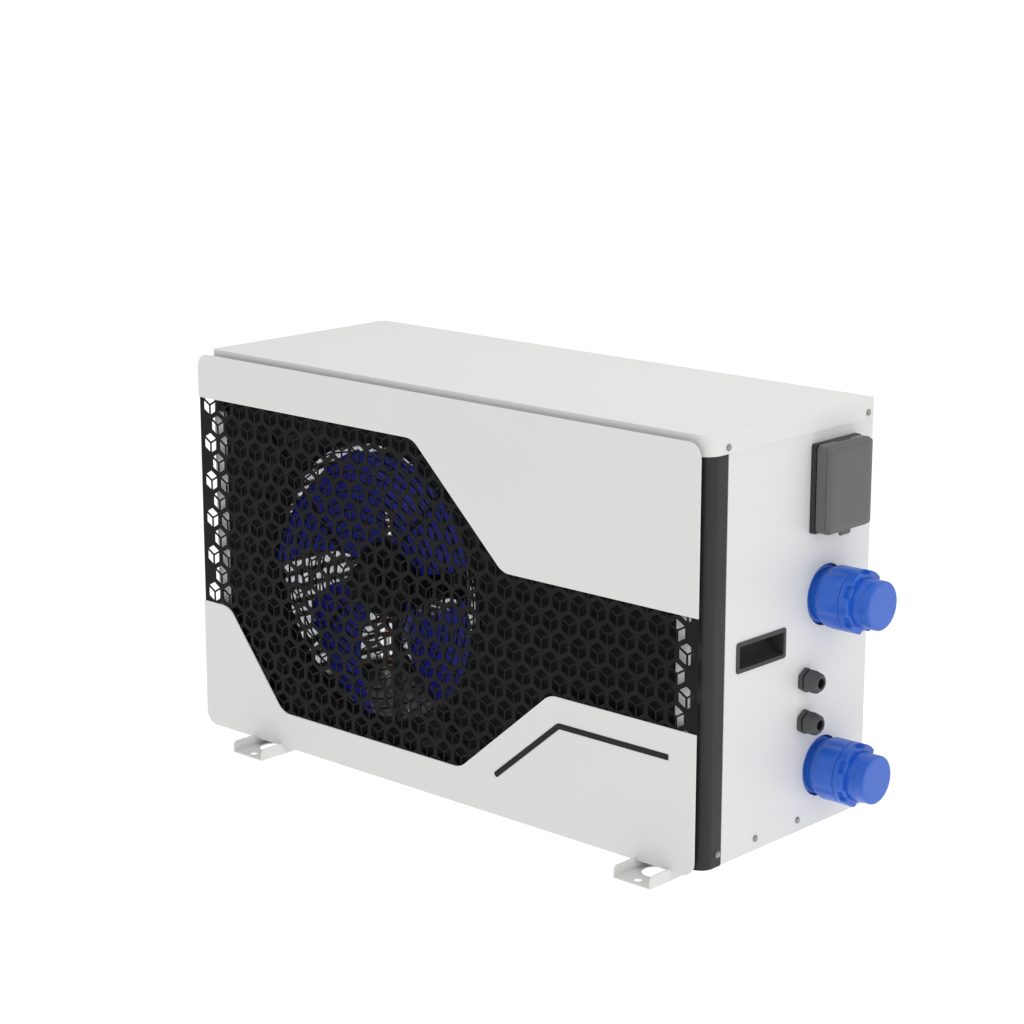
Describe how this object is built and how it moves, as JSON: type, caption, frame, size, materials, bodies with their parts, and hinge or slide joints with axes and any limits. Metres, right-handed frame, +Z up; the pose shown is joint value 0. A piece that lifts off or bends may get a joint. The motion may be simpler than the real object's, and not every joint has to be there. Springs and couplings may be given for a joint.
{
  "type": "pool heat pump",
  "caption": "White sheet-metal pool heat pump on foot rails, with a perforated black band and chevron plates in front, blue water unions and a covered controller on its right side",
  "frame": {"origin": "the middle of the four anchor holes, on the floor under the foot rails", "axes": "+X points to the water unions on the right side, -Y is the front with the fan grille, +Z is up"},
  "size_m": [1.0995, 0.486, 0.624],
  "materials": {
    "white_steel": "satin white powder coat",
    "galvanised_steel": "plain zinc-coated sheet",
    "charcoal_plastic": "fine-grained charcoal extrusion",
    "black_steel": "matt black powder coat",
    "black_plastic": "matt black moulding",
    "motor_casting": "dark painted casting",
    "stainless_steel": "plain stainless steel",
    "dark_blue_plastic": "dark blue moulded blades",
    "fin_aluminium": "close aluminium fins",
    "copper_tube": "bare copper tube",
    "brass_body": "plain machined brass",
    "black_rubber": "matt black rubber",
    "dark_shell_plastic": "dark moulded shell with its feet",
    "blue_plastic": "semi-gloss blue moulding",
    "gland_plastic": "dark grey nylon",
    "controller_base_plastic": "dark grey moulding",
    "controller_cover_plastic": "mid grey moulding",
    "display_plastic": "glossy black display window in its bezel",
    "button_plastic": "light grey key cap"
  },
  "bodies": {
    "cabinet": {"base_pan": "white_steel", "foot_left": "white_steel", "foot_right": "white_steel", "top_cover": "white_steel", "right_side_panel": "white_steel", "rear_panel": "white_steel", "rear_guard": "white_steel", "left_guard": "white_steel", "left_post": "white_steel", "right_post": "white_steel", "corner_column": "charcoal_plastic", "shroud_panel": "black_steel", "bell_mouth": "black_plastic", "front_grille": "black_steel", "upper_front_plate": "white_steel", "lower_front_plate": "white_steel", "chevron_trim": "black_plastic", "panel_spacers": "black_steel", "fan_guard": "black_steel", "fan_motor": "motor_casting", "motor_bracket": "galvanised_steel", "evaporator_coil": "fin_aluminium", "evaporator_tubes": "copper_tube", "partition_panel": "galvanised_steel", "compressor": "black_steel", "compressor_grommets": "black_rubber", "accumulator": "black_steel", "heat_exchanger": "dark_shell_plastic", "refrigerant_pipes": "copper_tube", "four_way_valve": "brass_body", "electrical_box": "galvanised_steel", "terminal_block": "black_plastic", "union_tails": "blue_plastic", "union_orings": "black_rubber", "union_sockets": "blue_plastic", "union_collars": "blue_plastic", "gland_bodies": "gland_plastic", "gland_seals": "black_rubber", "gland_locknuts": "gland_plastic", "handle_recess": "black_plastic", "controller_base": "controller_base_plastic", "hinge_pin": "stainless_steel", "display_panel": "display_plastic", "panel_screws": "stainless_steel", "lid_screws": "stainless_steel"},
    "rotor": {"motor_shaft": "stainless_steel", "fan_impeller": "dark_blue_plastic", "fan_nut": "stainless_steel"},
    "cover": {"controller_cover": "controller_cover_plastic"},
    "power_button": {"button_power": "button_plastic"},
    "mode_button": {"button_mode": "button_plastic"},
    "up_button": {"button_up": "button_plastic"},
    "down_button": {"button_down": "button_plastic"},
    "inlet_nut": {"union_nut_inlet": "blue_plastic"},
    "outlet_nut": {"union_nut_outlet": "blue_plastic"},
    "inlet_cap": {"cap_inlet": "blue_plastic"},
    "outlet_cap": {"cap_outlet": "blue_plastic"},
    "power_gland_nut": {"gland_nut_power": "gland_plastic"},
    "signal_gland_nut": {"gland_nut_signal": "gland_plastic"}
  },
  "joints": [
    {"name": "fan_spin", "type": "hinge", "parent": "cabinet", "child": "rotor", "pos_m": [-0.185, -0.134, 0.304], "axis": [0, 1, 0], "continuous": true},
    {"name": "cover_hinge", "type": "hinge", "parent": "cabinet", "child": "cover", "pos_m": [0.4804, 0.0937, 0.576], "axis": [0, -1, 0], "range_deg": [0, 120]},
    {"name": "power_press", "type": "slide", "parent": "cabinet", "child": "power_button", "axis": [-1, 0, 0], "range_m": [0, 0.001], "stiffness_N_per_m": 400},
    {"name": "mode_press", "type": "slide", "parent": "cabinet", "child": "mode_button", "axis": [-1, 0, 0], "range_m": [0, 0.001], "stiffness_N_per_m": 400},
    {"name": "up_press", "type": "slide", "parent": "cabinet", "child": "up_button", "axis": [-1, 0, 0], "range_m": [0, 0.001], "stiffness_N_per_m": 400},
    {"name": "down_press", "type": "slide", "parent": "cabinet", "child": "down_button", "axis": [-1, 0, 0], "range_m": [0, 0.001], "stiffness_N_per_m": 400},
    {"name": "inlet_nut_spin", "type": "hinge", "parent": "cabinet", "child": "inlet_nut", "pos_m": [0.489, 0.085, 0.1045], "axis": [1, 0, 0], "continuous": true},
    {"name": "outlet_nut_spin", "type": "hinge", "parent": "cabinet", "child": "outlet_nut", "pos_m": [0.489, 0.085, 0.357], "axis": [1, 0, 0], "continuous": true},
    {"name": "inlet_cap_pull", "type": "slide", "parent": "cabinet", "child": "inlet_cap", "axis": [1, 0, 0], "range_m": [0, 0.08]},
    {"name": "outlet_cap_pull", "type": "slide", "parent": "cabinet", "child": "outlet_cap", "axis": [1, 0, 0], "range_m": [0, 0.08]},
    {"name": "power_gland_spin", "type": "hinge", "parent": "cabinet", "child": "power_gland_nut", "pos_m": [0.483, 0.0397, 0.1812], "axis": [1, 0, 0], "continuous": true},
    {"name": "signal_gland_spin", "type": "hinge", "parent": "cabinet", "child": "signal_gland_nut", "pos_m": [0.483, 0.0397, 0.2423], "axis": [1, 0, 0], "continuous": true}
  ]
}
